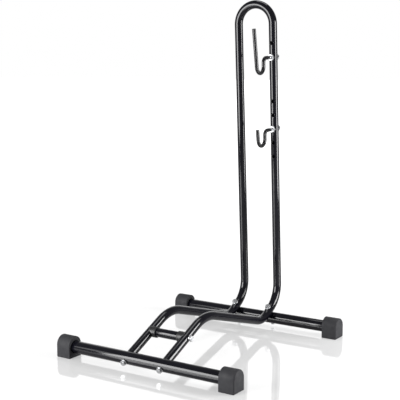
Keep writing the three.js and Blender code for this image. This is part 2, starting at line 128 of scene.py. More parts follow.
# Hooks
HOOK_RADIUS = 3.98
HOOK_REACH = 43  # leg's axis to the rod that comes down from the elbow
HOOK_ELBOW_RADIUS = 10
HOOK_DROP = 31  # shank's axis down to the lowest point of the rod's axis
HOOK_CRADLE_RADIUS = 14.2
HOOK_SPLAY = 6.2  # how far the outer arm leans away
UPPER_HOOK_ARM = 93  # outer arm's tip above the lowest point of the rod's axis
LOWER_HOOK_ARM = 36
HOOK_TIP_ROUNDING = 0.9
HOOK_TAIL = 7  # thread that stands out of the rear nut
HOOK_THREAD_REACH = 20  # where the black coat starts, in front of the leg's axis
HOOK_THREAD_PITCH = 1.25
HOOK_NUT_FLATS = 13
HOOK_NUT_HEIGHT = 4.25

# Bolts, washers and nuts
BOLT_RADIUS = 2.95
BOLT_THREAD_PITCH = 1.0
BOLT_THREAD_LENGTH = 18
BOLT_LEAST_PLAIN = 2  # shank without a thread, under the head of a short bolt
BOLT_HEAD_FLATS = 10
BOLT_HEAD_HEIGHT = 4
BOLT_HEAD_STEP = 0.25  # depth of the head's dish, and height of the round face under the head
BOLT_DISH_FLOOR = 0.55  # radius, as a share of the head's round face
BOLT_DISH_RIM = 0.8
BOLT_ENGAGEMENT = 12  # thread inside a rail's end plug
BOLT_TAIL = 2  # thread that stands out of a nut
NUT_HEIGHT = 5
NUT_BORE = 3.05
NUT_BORE_CHAMFER = 0.35
CAD_WASHER_THICKNESS = 1.2
WASHER_THICKNESS = 1.6
WASHER_RADIUS = 6.25
WASHER_BORE = 3.2
WASHER_EDGE = 0.25
ROUND_FACE = 0.95  # diameter of a hexagon's round face, as a share of its flats
HEXAGON_CHAMFER = 30
THREAD_DEPTH = 0.6  # as a share of the pitch

# Fineness of the meshes
TUBE_SIDES = 72
ROD_SIDES = 36
LOFT_COLUMNS = 48
BEND_STEP = 3  # degrees of bend between two rings
LIP_STEPS = 3  # steps round the edge of an end
FOOT_ARC_STEPS = 48
FOOT_CORNER_STEPS = 4
THREAD_RINGS = 8  # rings in each turn of a thread
LEAST_STEP = 0.1  # between two points of a path
MERGE_DISTANCE = 0.002
SHORTEST_EDGE = 0.001
SHARP_EDGE = 30
OVERRUN = 2  # how far a cutting shape runs past what it cuts
CUTTER_ROUNDING = 0.1

SIDES = (("left", -1), ("right", 1))

# ---- sizes of finishes and stage

# Finishes, in metres. A pair of edges says where a noise or a measure starts to show and is full.
CLOUD_EDGES = (0.35, 0.65)
SHADE_SIZE = 0.6  # patches of the second shade, as a share of the gloss's clouds
DUST_FACING_EDGES = (0.2, 1.0)  # how far a face looks up
DUST_ON_SIDES = 0.15  # share of the dust on faces that don't look up
DUST_SPECK_SIZE = 0.0012
DUST_SPECK_EDGES = (0.56, 0.72)
DUST_PATCH_SIZE = 0.04
DUST_PATCH_EDGES = (0.4, 0.7)
DUST_BETWEEN_PATCHES = 0.2
DUST_ROUGHNESS = 0.3  # added where the dust is full
# The lighter edges are partly rubbed paint and partly a painted highlight on rims and corners.
WEAR_AND_HIGHLIGHT_EDGES = (0.54, 0.62)  # pointiness
WEAR_AND_HIGHLIGHT_MARK_SIZE = 0.002
WEAR_AND_HIGHLIGHT_MARK_EDGES = (0.45, 0.6)

# Floor, in metres. Its lift is light added where it is seen or mirrored, so that it is white.
FLOOR_REACH = 30
FLOOR_FRONT = -1.5  # where the white sheet ends, in front of the rack
FLOOR_NEAR = (0.35, 0.8)  # from the origin, where the near values end and the far ones start
FLOOR_WHITE = 0.5
FLOOR_FAR_WHITE = 0.2
FLOOR_LIFT = 0.38
FLOOR_FAR_LIFT = 0.8
FLOOR_MIRRORED = 0.35  # share of the lift that a shiny piece mirrors
FLOOR_ROUGHNESS = 0.06
FLOOR_IOR = 3.0
FLOOR_SPECULAR = 0.5

# World
WORLD_SOFT = 0.35  # what soft light gets from all round
WORLD_DARK = 0.2  # what a shiny piece mirrors from the room above and in front
BACKDROP = (-0.53, 0.848, 0)  # the way to the middle of the white backdrop behind the rack
BACKDROP_EDGES = (0.7, 0.93)  # cosine of the angle from its middle
BACKDROP_TOP = (0.4, 0.8)  # sine of the height where it starts to fade and is gone

# Lamps, in metres: name, middle, target, width, height and the brightness that a mirror shows
SOFTBOXES = [
    ("left_softbox", (-0.9, -1.8, 0.62), (0, 0, 0.62), 1.15, 1.1, 12.0),
    ("far_left_softbox", (-1.62, -1.44, 0.72), (-0.72, 0.36, 0.72), 0.46, 0.72, 2.3),
    ("right_softbox", (1.2, 0.43, 0.5), (0, 0.2, 0.5), 0.5, 0.8, 17.0),
    ("top_softbox", (-0.1, 0.5, 1.9), (0, 0, 0.05), 0.8, 0.6, 3.2),
]

# Camera, with its place in millimetres
CAMERA_LENS = 85.932
CAMERA_SENSOR = 36
CAMERA_TURN = 33.682  # to the right of the rack's front
CAMERA_DIP = 8.077
CAMERA_ROLL = -0.111
CAMERA_PLACE = Vector((1061.17, -1616.98, 581.115))

# ---- places and directions


def side_direction(angle):
    """A direction in the side view, at an angle above the way from front to rear."""
    return Vector((0, math.cos(math.radians(angle)), math.sin(math.radians(angle))))


def at_side(point, sign):
    """A point of the side view, moved to the left or the right tube's axis."""
    return Vector((sign * TUBE_SPACING / 2, point.y, point.z))


def bend_tangent(radius, turn):
    """The distance from a bend's corner to where the bend starts."""
    return radius * math.tan(math.radians(turn) / 2)


def meeting_point(point_a, direction_a, point_b, direction_b):
    """Where two straight lines of the side view meet."""
    gap = point_b - point_a
    share = gap.y * direction_b.z - gap.z * direction_b.y
    share /= direction_a.y * direction_b.z - direction_a.z * direction_b.y
    return point_a + direction_a * share


def row_heights(depth, holes):
    """The heights of a row's holes, from its first and highest one down."""
    return [HOOP_HEIGHT - depth - HOLE_PITCH * index for index in range(holes)]


front_low, front_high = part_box("front_base_tube")
front_y = (front_low.y + front_high.y) / 2 / MM

along_x = Vector((1, 0, 0))
upward = Vector((0, 0, 1))
rise = side_direction(RAIL_RISE)
fall = side_direction(-RAIL_FALL)
joint_direction = side_direction(JOINT_ANGLE)
joint_normal = side_direction(JOINT_ANGLE + 90)
leg_direction = side_direction(HOOP_LEAN + 90)
shank_direction = side_direction(HOOP_LEAN + 180)

front_base = Vector((0, front_y, BASE_HEIGHT))
rear_base = front_base + Vector((0, BASE_SPACING, 0))
joint_height = CAD_BASE_RADIUS + CAD_GAP + CAD_TUBE_RADIUS  # above the rear cross tube's axis
joint = rear_base + joint_normal * joint_height
heel_tangent = bend_tangent(RAIL_HEEL_RADIUS, JOINT_ANGLE + RAIL_FALL)
heel_corner = joint - joint_direction * (RAIL_JOINT_STRAIGHT + heel_tangent)
hump_corner = meeting_point(front_base, rise, heel_corner, fall)
ankle_tangent = bend_tangent(HOOP_ANKLE_RADIUS, HOOP_LEAN + 90 - JOINT_ANGLE)
ankle_corner = joint + joint_direction * (HOOP_JOINT_STRAIGHT + ankle_tangent)
spacer_axis = front_base + rise * SPACER_DISTANCE
rail_face = TUBE_SPACING / 2 - CAD_TUBE_RADIUS  # the rails' inner sides

upper_row = row_heights(UPPER_ROW_DEPTH, UPPER_ROW_HOLES)
lower_row = row_heights(LOWER_ROW_DEPTH, LOWER_ROW_HOLES)


def leg_point(height):
    """The point of the leg's axis at a height above the floor."""
    return ankle_corner + leg_direction * ((height - ankle_corner.z) / leg_direction.z)


# ---- node trees


def set_inputs(tree, node, inputs):
    """Sets each of a node's inputs to a value, or to the socket that feeds it."""
    for name, value in inputs.items():
        if isinstance(value, bpy.types.NodeSocket):
            tree.links.new(value, node.inputs[name])
        else:
            node.inputs[name].default_value = value


def add_node(tree, kind, inputs=None, **settings):
    node = tree.nodes.new(kind)
    for name, value in settings.items():
        setattr(node, name, value)
    set_inputs(tree, node, inputs or {})
    return node


def add_math(tree, operation, result, *others):
    """Works out an operation on one value, or on its result and each further value in turn."""
    for other in others or [0.0]:
        node = add_node(tree, "ShaderNodeMath", {0: result, 1: other}, operation=operation)
        result = node.outputs[0]
    return result


def add_vector_math(tree, operation, first, second):
    slot = "Scale" if operation == "SCALE" else 1
    inputs = {0: first, slot: second}
    node = add_node(tree, "ShaderNodeVectorMath", inputs, operation=operation)
    return node.outputs[0]


def tube_tree():
    """Rings along a row of stations. Each station is a point with the direction in which its ring
    starts, the direction a quarter turn on, a radius, and how much of a thread it carries."""
    tree = bpy.data.node_groups.new("tube along stations", "GeometryNodeTree")
    inputs = [
        ("Stations", "NodeSocketGeometry"),
        ("Sides", "NodeSocketInt"),
        ("Thread Pitch", "NodeSocketFloat"),
        ("Thread Depth", "NodeSocketFloat"),
        ("Finish", "NodeSocketMaterial"),
    ]
    for label, kind in inputs:
        tree.interface.new_socket(label, in_out="INPUT", socket_type=kind)
    tree.interface.new_socket("Tube", in_out="OUTPUT", socket_type="NodeSocketGeometry")
    given = add_node(tree, "NodeGroupInput").outputs
    stations = given["Stations"]

    size = add_node(tree, "GeometryNodeAttributeDomainSize", {0: stations}, component="MESH")
    count = size.outputs["Point Count"]
    columns = add_math(tree, "ADD", given["Sides"], 1.0)
    grid = add_node(
        tree,
        "GeometryNodeMeshGrid",
        {"Size X": 1.0, "Size Y": 1.0, "Vertices X": count, "Vertices Y": columns},
    )
    position = add_node(tree, "GeometryNodeInputPosition").outputs[0]
    on_grid = add_node(tree, "ShaderNodeSeparateXYZ", {0: position}).outputs
    share = add_math(tree, "ADD", on_grid["X"], 0.5)
    last = add_math(tree, "SUBTRACT", count, 1.0)
    station = add_math(tree, "ROUND", add_math(tree, "MULTIPLY", share, last))
    turn = add_math(tree, "ADD", on_grid["Y"], 0.5)
    angle = add_math(tree, "MULTIPLY", turn, 2 * math.pi)

    def at_station(value, data_type):
        inputs = {"Geometry": stations, "Value": value, "Index": station}
        settings = {"data_type": data_type, "domain": "POINT"}
        return add_node(tree, "GeometryNodeSampleIndex", inputs, **settings).outputs[0]

    def stored(attribute, data_type="FLOAT"):
        named = {"Name": attribute}
        field = add_node(tree, "GeometryNodeInputNamedAttribute", named, data_type=data_type)
        return at_station(field.outputs[0], data_type)

    turns = add_math(tree, "DIVIDE", stored("travel"), given["Thread Pitch"])
    phase = add_math(tree, "FRACT", add_math(tree, "SUBTRACT", turns, turn))
    ridge = add_math(tree, "ABSOLUTE", add_math(tree, "SUBTRACT", phase, 0.5))
    groove = add_math(tree, "MULTIPLY", ridge, 2.0, stored("thread"), given["Thread Depth"])
    radius = add_math(tree, "SUBTRACT", stored("radius"), groove)
    radius = add_math(tree, "MAXIMUM", radius, 0.0)
    across = stored("across", "FLOAT_VECTOR")
    across = add_vector_math(tree, "SCALE", across, add_math(tree, "COSINE", angle))
    above = stored("above", "FLOAT_VECTOR")
    above = add_vector_math(tree, "SCALE", above, add_math(tree, "SINE", angle))
    outward = add_vector_math(tree, "ADD", across, above)
    offset = add_vector_math(tree, "SCALE", outward, radius)
    target = add_vector_math(tree, "ADD", at_station(position, "FLOAT_VECTOR"), offset)

    placed = {"Geometry": grid.outputs["Mesh"], "Position": target}
    moved = add_node(tree, "GeometryNodeSetPosition", placed).outputs[0]
    close = {"Geometry": moved, "Distance": MERGE_DISTANCE * MM}
    merged = add_node(tree, "GeometryNodeMergeByDistance", close).outputs[0]
    real = add_node(tree, "GeometryNodeRealizeInstances", {0: merged}).outputs[0]
    coated = {"Geometry": real, "Material": given["Finish"]}
    finished = add_node(tree, "GeometryNodeSetMaterial", coated).outputs[0]
    add_node(tree, "NodeGroupOutput", {"Tube": finished})
    return tree


TUBE_TREE = tube_tree()


def set_input(modifier, name, value):
    for item in modifier.node_group.interface.items_tree:
        if item.name == name and item.in_out == "INPUT":
            modifier[item.identifier] = value


# ---- meshes


def new_object(name, data):
    thing = bpy.data.objects.new(name, data)
    bpy.context.scene.collection.objects.link(thing)
    return thing


def plain_mesh(piece):
    """Turns what a piece's modifiers make into its own mesh, and takes them off."""
    graph = bpy.context.evaluated_depsgraph_get()
    made = bpy.data.meshes.new_from_object(piece.evaluated_get(graph))
    made.name = piece.name
    piece.modifiers.clear()
    piece.data = made


def tidy_mesh(piece):
    """Closes seams and poles, turns all faces outwards and keeps corners crisp."""
    mesh = piece.data
    bm = bmesh.new()
    bm.from_mesh(mesh)
    bmesh.ops.remove_doubles(bm, verts=bm.verts, dist=MERGE_DISTANCE * MM)
    bmesh.ops.dissolve_degenerate(bm, edges=bm.edges, dist=SHORTEST_EDGE * MM)
    bmesh.ops.recalc_face_normals(bm, faces=bm.faces)
    if bm.calc_volume(signed=True) < 0:
        bmesh.ops.reverse_faces(bm, faces=bm.faces)
    for face in bm.faces:
        face.smooth = True
    bm.to_mesh(mesh)
    bm.free()
    mesh.set_sharp_from_angle(angle=math.radians(SHARP_EDGE))


def straight_path(start, end, side):
    """A straight path between two points, whose rings start in a direction square to it."""
    heading = (end - start).normalized()
    return [(start, heading, side), (end, heading, side)]


def bent_path(corners, radii):
    """(point, heading) along straight runs with a round bend at each inner corner."""
    headings = [(b - a).normalized() for a, b in zip(corners, corners[1:])]
    path = [(corners[0], headings[0])]
    for corner, before, after, radius in zip(corners[1:], headings, headings[1:], radii):
        turn = before.angle(after)
        start = corner - before * radius * math.tan(turn / 2)
        inward = (after - before * before.dot(after)).normalized()
        steps = math.ceil(math.degrees(turn) / BEND_STEP)
        for step in range(steps + 1):
            angle = turn * step / steps
            sine = math.sin(angle)
            cosine = math.cos(angle)
            point = start + before * (radius * sine) + inward * (radius * (1 - cosine))
            if (point - path[-1][0]).length > LEAST_STEP:
                path.append((point, before * cosine + inward * sine))
    path.append((corners[-1], headings[-1]))
    return path


def carry_side(path, side):
    """Adds to each point the direction in which its ring starts, carried along without twist."""
    carried = []
    for point, heading in path:
        side = (side - heading * side.dot(heading)).normalized()
        carried.append((point, heading, side))
    return carried


def end_rounding(radius, rounding):
    """(distance back from the end, radius) round an outer edge, up to the end's face."""
    angles = [math.radians(90 * step / LIP_STEPS) for step in range(LIP_STEPS + 1)]
    return [
        (rounding * (1 - math.sin(angle)), radius - rounding * (1 - math.cos(angle)))
        for angle in angles
    ]


def bore_rounding(bore, rounding):
    """(distance back from the end, radius) round an inner edge, from the end's face inwards."""
    flipped = [(back, 2 * bore - radius) for back, radius in end_rounding(bore, rounding)]
    return flipped[::-1]


def start_ring(path, distance, radius):
    """A ring at a distance from a path's start."""
    point, heading, side = path[0]
    return (point + heading * distance, heading, side, radius)


def end_ring(path, distance, radius):
    """A ring at a distance before a path's end."""
    point, heading, side = path[-1]
    return (point - heading * distance, heading, side, radius)


def solid_rings(path, radius, rounding):
    """(point, heading, side, radius) over a closed bar, from one end's middle to the other's."""
    cap = end_rounding(radius, rounding) + [(0, 0)]
    rings = [start_ring(path, back, size) for back, size in reversed(cap)]
    rings += [(*station, radius) for station in path[1:-1]]
    rings += [end_ring(path, back, size) for back, size in cap]
    return rings


def tube_rings(path, radius, bore):
    """(point, heading, side, radius) out over a tube, round its end and back through its bore."""
    rim = end_rounding(radius, TUBE_LIP) + bore_rounding(bore, TUBE_LIP)
    outward = [(*station, radius) for station in path[1:-1]]
    end = [end_ring(path, back, size) for back, size in rim]
    inward = [(*station, bore) for station in reversed(path[1:-1])]
    start = [start_ring(path, back, size) for back, size in reversed(rim)]
    return start[-1:] + outward + end + inward + start


def swept(name, rings, sides, finish, thread=None, pitch=1.0):
    """A mesh through the rings. A thread gives the share of its depth at a distance from the
    first ring."""
    mesh = bpy.data.meshes.new(name)
    mesh.from_pydata([ring[0] * MM for ring in rings], [], [])
    values = {"across": [], "above": [], "radius": [], "travel": [], "thread": []}
    origin, direction = rings[0][0], rings[0][1]
    for point, heading, side, radius in rings:
        travel = (point - origin).dot(direction)
        values["across"].append(side)
        values["above"].append(heading.cross(side))
        values["radius"].append(radius * MM)
        values["travel"].append(travel * MM)
        values["thread"].append(thread(travel) if thread else 0.0)
    for attribute, numbers in values.items():
        is_vector = attribute in ("across", "above")
        layer = mesh.attributes.new(attribute, "FLOAT_VECTOR" if is_vector else "FLOAT", "POINT")
        if is_vector:
            layer.data.foreach_set("vector", [part for number in numbers for part in number])
        else:
            layer.data.foreach_set("value", numbers)
    piece = new_object(name, mesh)
    modifier = piece.modifiers.new("tube", "NODES")
    modifier.node_group = TUBE_TREE
    set_input(modifier, "Sides", sides)
    set_input(modifier, "Thread Pitch", pitch * MM)
    set_input(modifier, "Thread Depth", pitch * THREAD_DEPTH * MM)
    set_input(modifier, "Finish", finish)
    plain_mesh(piece)
    tidy_mesh(piece)
    return piece


def skinned(name, rows, finish, closed):
    """A mesh through rows of points. A closed one joins its last row to its first, and an open
    one ends in flat faces."""
    bm = bmesh.new()
    loops = [[bm.verts.new(point * MM) for point in row] for row in rows]
    pairs = list(zip(loops, loops[1:]))
    if closed:
        pairs.append((loops[-1], loops[0]))
    for lower, upper in pairs:
        for index in range(len(lower)):
            after = (index + 1) % len(lower)
            bm.faces.new((lower[index], lower[after], upper[after], upper[index]))
    if not closed:
        bm.faces.new(loops[0])
        bm.faces.new(loops[-1])
    mesh = bpy.data.meshes.new(name)
    bm.to_mesh(mesh)
    bm.free()
    mesh.materials.append(finish)
    piece = new_object(name, mesh)
    tidy_mesh(piece)
    return piece


def round_point(angle, radius, height):
    return Vector((radius * math.cos(angle), radius * math.sin(angle), height))


def lofted(name, rows, finish, closed):
    """A mesh round the local Z axis. A row gives (radius, height) at an angle."""
    angles = [2 * math.pi * column / LOFT_COLUMNS for column in range(LOFT_COLUMNS)]
    points = [[round_point(angle, *row(angle)) for angle in angles] for row in rows]
    return skinned(name, points, finish, closed)


def circle(radius, height):
    return lambda angle: (radius, height)


def disc_rows(radius, rounding, low, high):
    """Rows up the outside of a disc, round both its edges."""
    edge = end_rounding(radius, rounding)
    rows = [circle(size, low + back) for back, size in reversed(edge)]
    rows += [circle(size, high - back) for back, size in edge]
    return rows


def hexagon_row(flats, height, chamfer=0):
    """A row on a hexagon's sides. A chamfer of 1 or -1 pulls its corners down or up."""
    sector = math.pi / 3
    slope = math.tan(math.radians(HEXAGON_CHAMFER)) * chamfer

    def row(angle):
        radius = flats / 2 / math.cos(angle % sector - sector / 2)
        return radius, height - (radius - flats * ROUND_FACE / 2) * slope

    return row


def place(piece, point, direction):
    """Turns a piece so that its local Z axis points along a direction, with its origin at a point."""
    turn = upward.rotation_difference(direction).to_matrix().to_4x4()
    piece.data.transform(Matrix.Translation(point * MM) @ turn)
    return piece


def cutter(start, end, radius, sides=ROD_SIDES):
    """A plain bar between two points, to cut a hole with."""
    path = straight_path(start, end, (end - start).orthogonal().normalized())
    return swept("cutter", solid_rings(path, radius, CUTTER_ROUNDING), sides, None)


def across_hole(middle, direction, tube_radius, radius):
    """A cutter for a hole through both walls of a tube."""
    reach = direction.normalized() * (tube_radius + OVERRUN)
    return cutter(middle - reach, middle + reach, radius)


def cut(piece, cutters):
    """Cuts the cutters out of a piece and deletes them."""
    for tool in cutters:
        modifier = piece.modifiers.new("cut", "BOOLEAN")
        modifier.operation = "DIFFERENCE"
        modifier.solver = "EXACT"
        modifier.object = tool
    plain_mesh(piece)
    for tool in cutters:
        bpy.data.objects.remove(tool)
    tidy_mesh(piece)
    return piece


def settle(piece, node, body="frame"):
    """A finished piece rides on its body and stands for its CAD node."""
    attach(piece, body)
    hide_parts(node)


# ---- finishes


def noise(tree, point, size, detail=2.0, roughness=0.5):
    """Noise whose lumps are about a size across, in metres."""
    scale = add_math(tree, "DIVIDE", 1.0, size)
    inputs = {"Vector": point, "Scale": scale, "Detail": detail, "Roughness": roughness}
    return add_node(tree, "ShaderNodeTexNoise", inputs).outputs["Fac"]


def map_range(tree, value, edges, start=0.0, end=1.0):
    """Turns a value smoothly into one from start to end, while it crosses its edges."""
    inputs = {"Value": value, "From Min": edges[0], "From Max": edges[1]}
    inputs.update({"To Min": start, "To Max": end})
    node = add_node(tree, "ShaderNodeMapRange", inputs, interpolation_type="SMOOTHSTEP")
    return node.outputs["Result"]


def object_point(tree):
    return add_node(tree, "ShaderNodeTexCoord").outputs["Object"]


def shader_group(name, inputs, outputs):
    """A group whose inputs and outputs are numbers, with no other nodes yet."""
    tree = bpy.data.node_groups.new(name, "ShaderNodeTree")
    for label, value in inputs.items():
        socket = tree.interface.new_socket(label, in_out="INPUT", socket_type="NodeSocketFloat")
        socket.default_value = value
    for label in outputs:
        tree.interface.new_socket(label, in_out="OUTPUT", socket_type="NodeSocketFloat")
    given = add_node(tree, "NodeGroupInput").outputs
    return tree, given, object_point(tree)


def surface_group():
    """Fine relief of a coating, and the slow change of its gloss from place to place."""
    inputs = {"Relief Size": 0.001, "Cloud Size": 0.03, "Roughness Low": 0.2, "Roughness High": 0.3}
    tree, given, point = shader_group("surface relief", inputs, ["Height", "Roughness"])
    relief = noise(tree, point, given["Relief Size"], detail=3.0)
    cloud = noise(tree, point, given["Cloud Size"], detail=3.0, roughness=0.6)
    low, high = given["Roughness Low"], given["Roughness High"]
    roughness = map_range(tree, cloud, CLOUD_EDGES, low, high)
    add_node(tree, "NodeGroupOutput", {"Height": relief, "Roughness": roughness})
    return tree


def dust_group():
    """Thin dust that lies on what faces up, in small specks and broad patches."""
    inputs = {"Amount": 0.3, "Speck Size": DUST_SPECK_SIZE}
    tree, given, point = shader_group("dust", inputs, ["Mask"])
    normal = add_node(tree, "ShaderNodeNewGeometry").outputs["Normal"]
    up = add_node(tree, "ShaderNodeSeparateXYZ", {0: normal}).outputs["Z"]
    facing = map_range(tree, up, DUST_FACING_EDGES, DUST_ON_SIDES, 1.0)
    specks = map_range(tree, noise(tree, point, given["Speck Size"]), DUST_SPECK_EDGES)
    patches = noise(tree, point, DUST_PATCH_SIZE, detail=3.0)
    patches = map_range(tree, patches, DUST_PATCH_EDGES, DUST_BETWEEN_PATCHES, 1.0)
    mask = add_math(tree, "MULTIPLY", specks, patches, facing, given["Amount"])
    add_node(tree, "NodeGroupOutput", {"Mask": mask})
    return tree


def edge_wear_and_highlight_group():
    """Lighter edges, found by pointiness and broken up into small marks: partly where handling has
    rubbed the edges, partly a painted highlight on rims and corners.
    """
    inputs = {"Amount": 0.5, "Mark Size": WEAR_AND_HIGHLIGHT_MARK_SIZE}
    tree, given, point = shader_group("rubbed and highlighted edges", inputs, ["Mask"])
    pointiness = add_node(tree, "ShaderNodeNewGeometry").outputs["Pointiness"]
    edges = map_range(tree, pointiness, WEAR_AND_HIGHLIGHT_EDGES)
    marks = noise(tree, point, given["Mark Size"], detail=4.0, roughness=0.7)
    marks = map_range(tree, marks, WEAR_AND_HIGHLIGHT_MARK_EDGES)
    mask = add_math(tree, "MULTIPLY", edges, marks, given["Amount"])
    add_node(tree, "NodeGroupOutput", {"Mask": mask})
    return tree


SURFACE = surface_group()
DUST = dust_group()
EDGE_WEAR_AND_HIGHLIGHT = edge_wear_and_highlight_group()


def mixed(tree, share, first, second):
    """A colour between two. A Mix node has its colours in its sockets 6, 7 and, mixed, 2."""
    inputs = {"Factor": share, 6: first, 7: second}
    return add_node(tree, "ShaderNodeMix", inputs, data_type="RGBA").outputs[2]


def make_finish(name, colours, relief, gloss, dust, edge_wear_and_highlight, constants):
    """A material. Its colours are the plain one, its second shade, dust, and the lighter edge colour,
    which is partly worn paint and partly a painted highlight on rims and corners. Its relief is the
    size of its bumps, the size of its clouds and the depth of its bumps. Its gloss is its lowest and
    highest roughness, and its constants are the same all over."""
    material = bpy.data.materials.new(name)
    material.use_nodes = True
    tree = material.node_tree
    base, shade, dust_colour, worn_and_highlight_colour = [(*colour, 1) for colour in colours]
    bump_size, cloud_size, depth = relief
    sizes = {"Relief Size": bump_size, "Cloud Size": cloud_size}
    sizes.update({"Roughness Low": gloss[0], "Roughness High": gloss[1]})
    surface = add_node(tree, "ShaderNodeGroup", sizes, node_tree=SURFACE).outputs
    dust_mask = add_node(tree, "ShaderNodeGroup", {"Amount": dust}, node_tree=DUST).outputs[0]
    wear_and_highlight_mask = add_node(tree, "ShaderNodeGroup", {"Amount": edge_wear_and_highlight}, node_tree=EDGE_WEAR_AND_HIGHLIGHT).outputs[0]
    shading = noise(tree, object_point(tree), cloud_size * SHADE_SIZE, detail=4.0)
    colour = mixed(tree, map_range(tree, shading, CLOUD_EDGES), base, shade)
    # Edges take the lighter edge colour: partly worn paint, partly a painted highlight on rims and
    # corners.
    colour = mixed(tree, wear_and_highlight_mask, colour, worn_and_highlight_colour)
    colour = mixed(tree, dust_mask, colour, dust_colour)
    dusty = add_math(tree, "MULTIPLY", dust_mask, DUST_ROUGHNESS)
    roughness = add_math(tree, "ADD", surface["Roughness"], dusty)
    bumps = {"Height": surface["Height"], "Distance": depth}
    normal = add_node(tree, "ShaderNodeBump", bumps).outputs[0]
    inputs = {"Base Color": colour, "Roughness": roughness, "Normal": normal, **constants}
    set_inputs(tree, tree.nodes["Principled BSDF"], inputs)
    return material


# The last colour of each finish is its lighter edge: partly worn, partly a painted highlight.
gloss_black_paint = make_finish(
    "gloss_black_paint",
    colours=[
        # The blue in these colours stands in for a bluish room mirrored in the gloss: a painted
        # reflection tint.
        (0.0036, 0.0035, 0.0062),
        (0.0046, 0.0045, 0.0078),
        (0.16, 0.16, 0.16),
        (0.05, 0.05, 0.052),
    ],
    relief=(0.003, 0.05, 0.0000015),
    gloss=(0.08, 0.11),
    dust=0.02,
    edge_wear_and_highlight=0.3,
    constants={"Specular IOR Level": 0.4},
)
satin_black_coat = make_finish(
    "satin_black_coat",
    colours=[(0.005, 0.005, 0.0062), (0.007, 0.007, 0.0085), (0.2, 0.2, 0.2), (0.07, 0.07, 0.07)],
    relief=(0.0015, 0.02, 0.000002),
    gloss=(0.2, 0.26),
    dust=0.04,
    edge_wear_and_highlight=0.3,
    constants={},
)
black_rubber = make_finish(
    "black_rubber",
    colours=[(0.024, 0.024, 0.028), (0.029, 0.029, 0.033), (0.2, 0.19, 0.18), (0.08, 0.08, 0.08)],
    relief=(0.0005, 0.015, 0.00005),
    gloss=(0.62, 0.72),
    dust=0.16,
    edge_wear_and_highlight=0.4,
    constants={"Specular IOR Level": 0.4},
)
black_plastic = make_finish(
    "black_plastic",
    colours=[(0.016, 0.016, 0.017), (0.02, 0.02, 0.021), (0.2, 0.2, 0.2), (0.06, 0.06, 0.06)],
    relief=(0.0004, 0.012, 0.00002),
    gloss=(0.36, 0.44),
    dust=0.2,
    edge_wear_and_highlight=0.3,
    constants={},
)
zinc_plate = make_finish(
    "zinc_plate",
    colours=[(0.72, 0.73, 0.74), (0.62, 0.63, 0.65), (0.4, 0.39, 0.37), (0.85, 0.85, 0.85)],
    relief=(0.0003, 0.004, 0.000006),
    gloss=(0.36, 0.46),
    dust=0.15,
    edge_wear_and_highlight=0.5,
    constants={"Metallic": 1.0},
)

# ---- cross tubes and feet


def level_tube(name, middle, half_length, radius, bore):
    """A straight tube from left to right."""
    half = along_x * half_length
    rings = tube_rings(straight_path(middle - half, middle + half, upward), radius, bore)
    return swept(f"{name}_shape", rings, TUBE_SIDES, gloss_black_paint)


def cross_tube(name, axis, bolt_direction):
    """A cross tube with a bolt hole under each rail."""
    tube = level_tube(name, axis, BASE_LENGTH / 2, BASE_RADIUS, BASE_RADIUS - BASE_WALL)
    holes = [
        across_hole(at_side(axis, sign), bolt_direction, BASE_RADIUS, BOLT_HOLE_RADIUS)
        for word, sign in SIDES
    ]
    settle(cut(tube, holes), name)


def foot_outline(inset):
    """A foot's outline seen along the tube, in (across, height above the floor), drawn inwards by
    an inset: a round top, straight sides and a flat sole with small round corners."""
    half = FOOT_WIDTH / 2 - inset
    crown = FOOT_HEIGHT - FOOT_WIDTH / 2
    corner = max(FOOT_SOLE_ROUNDING - inset, FOOT_LEAST_ROUNDING)
    points = []
    for step in range(FOOT_ARC_STEPS + 1):
        angle = math.pi * step / FOOT_ARC_STEPS
        points.append((half * math.cos(angle), crown + half * math.sin(angle)))
    quarter = [math.pi / 2 * step / FOOT_CORNER_STEPS for step in range(FOOT_CORNER_STEPS + 1)]
    for sign, angles in ((-1, quarter), (1, quarter[::-1])):
        for angle in angles:
            across = half - corner + corner * math.cos(angle)
            points.append((sign * across, inset + corner - corner * math.sin(angle)))
    return points


def foot_socket(axis, mouth, sign):
    """What is cut out of a foot for the tube's end, with a wider mouth."""
    profile = [
        (-OVERRUN, 0),
        (-OVERRUN, FOOT_SOCKET_RADIUS + FOOT_MOUTH_ROUNDING + OVERRUN),
        (FOOT_MOUTH_ROUNDING, FOOT_SOCKET_RADIUS),
        (FOOT_SOCKET_DEPTH, FOOT_SOCKET_RADIUS),
        (FOOT_SOCKET_DEPTH, 0),
    ]
    heading = along_x * sign
    start = Vector((sign * mouth, axis.y, axis.z))
    rings = [(start + heading * depth, heading, upward, radius) for depth, radius in profile]
    return swept("socket", rings, TUBE_SIDES, None)


def foot(name, axis, sign):
    """A rubber foot. Its mouth faces the middle of the rack."""
    mouth = BASE_LENGTH / 2 + CAD_GAP - FOOT_SOCKET_DEPTH
    sections = [(back, -size) for back, size in reversed(end_rounding(0, FOOT_MOUTH_ROUNDING))]
    sections += [(FOOT_LENGTH - back, -size) for back, size in end_rounding(0, FOOT_END_ROUNDING)]
    rows = []
    for distance, inset in sections:
        x = sign * (mouth + distance)
        rows.append([Vector((x, axis.y + y, z)) for y, z in foot_outline(inset)])
    piece = skinned(f"{name}_shape", rows, black_rubber, closed=False)
    settle(cut(piece, [foot_socket(axis, mouth, sign)]), name)


cross_tube("front_base_tube", front_base, rise)
cross_tube("rear_base_tube", rear_base, joint_normal)
for row_name, row_axis in (("front", front_base), ("rear", rear_base)):
    for side_name, side_sign in SIDES:
        foot(f"{row_name}_{side_name}_foot", row_axis, side_sign)

# ---- side rails


